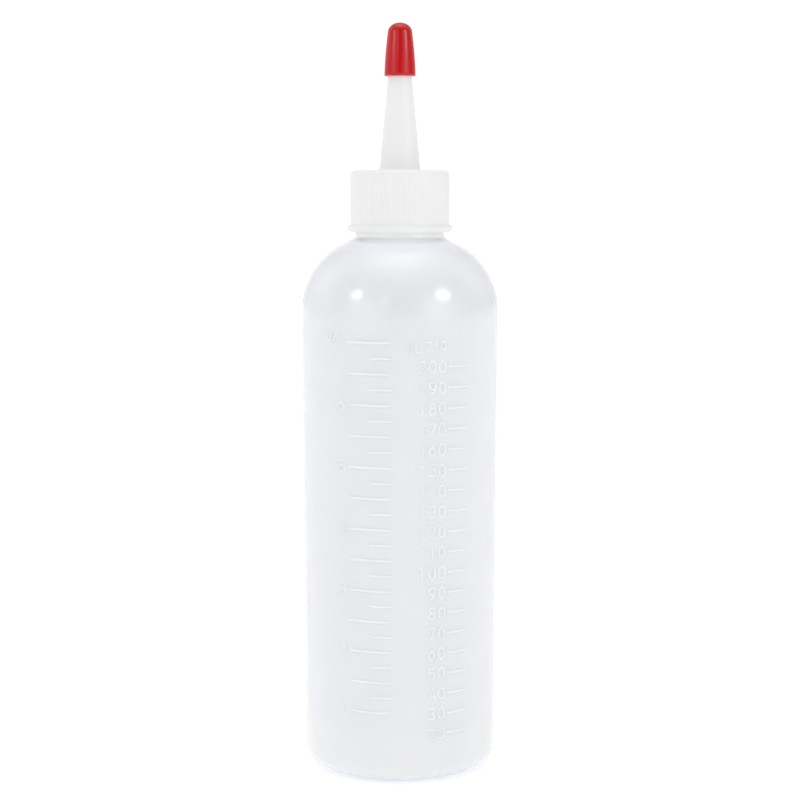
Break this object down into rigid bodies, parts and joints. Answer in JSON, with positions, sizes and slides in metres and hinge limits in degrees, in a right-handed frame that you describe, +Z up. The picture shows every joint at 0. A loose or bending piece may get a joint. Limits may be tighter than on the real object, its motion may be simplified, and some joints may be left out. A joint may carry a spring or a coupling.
{
  "type": "glue applicator bottle",
  "caption": "Round-shouldered squeeze bottle with raised graduations, a ribbed screw closure with a long tapered spout, and a small push-on tip cap.",
  "frame": {"origin": "on the bottle's axis, in the plane of the standing ring, at the bottom", "axes": "+Z up along the bottle's axis to the tip; -Y is the graduated front; +X is to the right when the front is faced"},
  "size_m": [0.0516, 0.0516, 0.1958],
  "materials": {
    "natural_ldpe": "satin",
    "cap_polyethylene": "satin",
    "seal_foam": "matte",
    "tip_red": "satin"
  },
  "bodies": {
    "bottle_body": {"bottle": "natural_ldpe"},
    "seal_body": {"neck_seal": "seal_foam"},
    "closure_body": {"spout_cap": "cap_polyethylene"},
    "tip_body": {"tip_cap": "tip_red"}
  },
  "joints": [
    {"name": "closure_lift", "type": "slide", "parent": "bottle_body", "child": "seal_body", "axis": [0, 0, 1], "range_m": [0, 0.01588]},
    {"name": "closure_turn", "type": "hinge", "parent": "seal_body", "child": "closure_body", "pos_m": [0, 0, 0.1417], "axis": [0, 0, 1], "range_deg": [0, 1800]},
    {"name": "tip_pull", "type": "slide", "parent": "closure_body", "child": "tip_body", "axis": [0, 0, 1], "range_m": [0, 0.015]}
  ],
  "couplings": [
    {"joint": "closure_lift", "follows": "closure_turn", "m_per_rad": 0.00050532}
  ]
}
